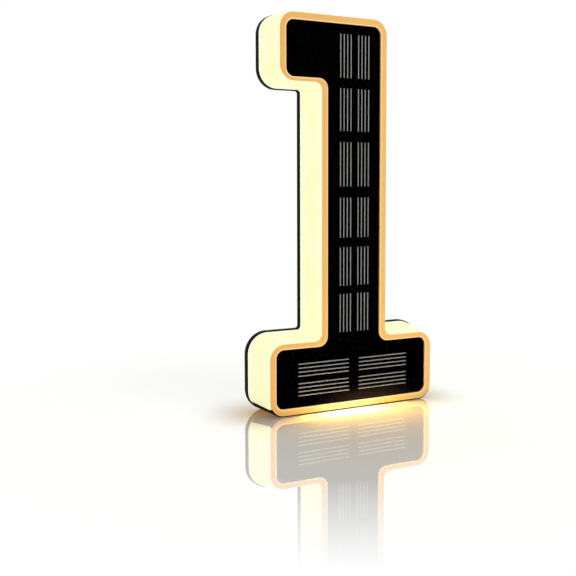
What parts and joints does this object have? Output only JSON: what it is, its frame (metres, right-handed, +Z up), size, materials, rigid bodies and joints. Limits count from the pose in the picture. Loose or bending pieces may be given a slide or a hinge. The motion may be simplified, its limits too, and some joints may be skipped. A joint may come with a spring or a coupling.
{
  "type": "illuminated house number sign",
  "caption": "Slab-serif house number with a flat solar panel face, a glowing side wall, an amber rim and a flat back plate with keyholes.",
  "frame": {"origin": "under the middle of the foot, halfway through the depth", "axes": "+Z up along the figure, +X to the right seen from the front, +Y from the front face to the wall"},
  "size_m": [0.105, 0.022, 0.2013],
  "materials": {
    "back_plate_black": "black moulded ABS",
    "diffuser_cream": "translucent opal acrylic lit from inside",
    "rim_amber": "amber tinted acrylic, satin",
    "seal_clear": "clear silicone seal that lets light out",
    "panel_film": "clear glossy PET film over the solar panel",
    "panel_black": "black laminated circuit board",
    "cell_silicon": "dark monocrystalline silicon",
    "busbar_silver": "tinned copper ribbon",
    "reflector_white": "white PET film",
    "board_white": "white solder mask",
    "lamp_yellow": "phosphor coated lamp",
    "board_green": "green solder mask",
    "chip_black": "moulded epoxy",
    "ferrite_grey": "pressed ferrite",
    "can_silver": "drawn aluminium can",
    "resistor_black": "fired ceramic chip",
    "switch_grey": "moulded nylon",
    "plunger_white": "moulded acetal",
    "button_rubber": "black silicone rubber",
    "spring_steel": "music wire",
    "holder_black": "moulded ABS",
    "battery_green": "shrink sleeve on a metal can",
    "contact_nickel": "nickel plated spring steel",
    "lead_red": "PVC insulated wire",
    "screw_steel": "zinc plated steel"
  },
  "bodies": {
    "sign": {"back_plate": "back_plate_black", "diffuser_shell": "diffuser_cream", "front_bezel": "rim_amber", "rim_seal": "seal_clear", "panel_window": "panel_film", "panel_board": "panel_black", "stem_cell_1": "cell_silicon", "stem_cell_2": "cell_silicon", "stem_cell_3": "cell_silicon", "stem_cell_4": "cell_silicon", "stem_cell_5": "cell_silicon", "stem_cell_6": "cell_silicon", "foot_cell_left": "cell_silicon", "foot_cell_right": "cell_silicon", "stem_busbars_1": "busbar_silver", "stem_busbars_2": "busbar_silver", "stem_busbars_3": "busbar_silver", "stem_busbars_4": "busbar_silver", "stem_busbars_5": "busbar_silver", "stem_busbars_6": "busbar_silver", "foot_busbars_left": "busbar_silver", "foot_busbars_right": "busbar_silver", "reflector_sheet": "reflector_white", "stem_led_strip": "board_white", "flag_led_strip": "board_white", "foot_led_strip": "board_white", "stem_leds": "lamp_yellow", "flag_leds": "lamp_yellow", "foot_leds": "lamp_yellow", "control_board": "board_green", "charge_chip": "chip_black", "boost_inductor": "ferrite_grey", "board_capacitors": "can_silver", "board_resistors": "resistor_black", "switch_body": "switch_grey", "button_spring": "spring_steel", "battery_holder": "holder_black", "battery_cell": "battery_green", "battery_contact": "contact_nickel", "battery_spring": "contact_nickel", "battery_leads": "lead_red", "panel_leads": "lead_red", "stem_led_leads": "lead_red", "flag_led_leads": "lead_red", "foot_led_leads": "lead_red", "cover_screws": "screw_steel", "board_screws": "screw_steel"},
    "mode_button": {"button_cap": "button_rubber", "switch_plunger": "plunger_white"}
  },
  "joints": [
    {"name": "mode_button_press", "type": "slide", "parent": "sign", "child": "mode_button", "axis": [0, -1, 0], "range_m": [0, 0.0012], "stiffness_N_per_m": 600, "springref_m": -0.001, "deforming": ["button_spring"]}
  ]
}
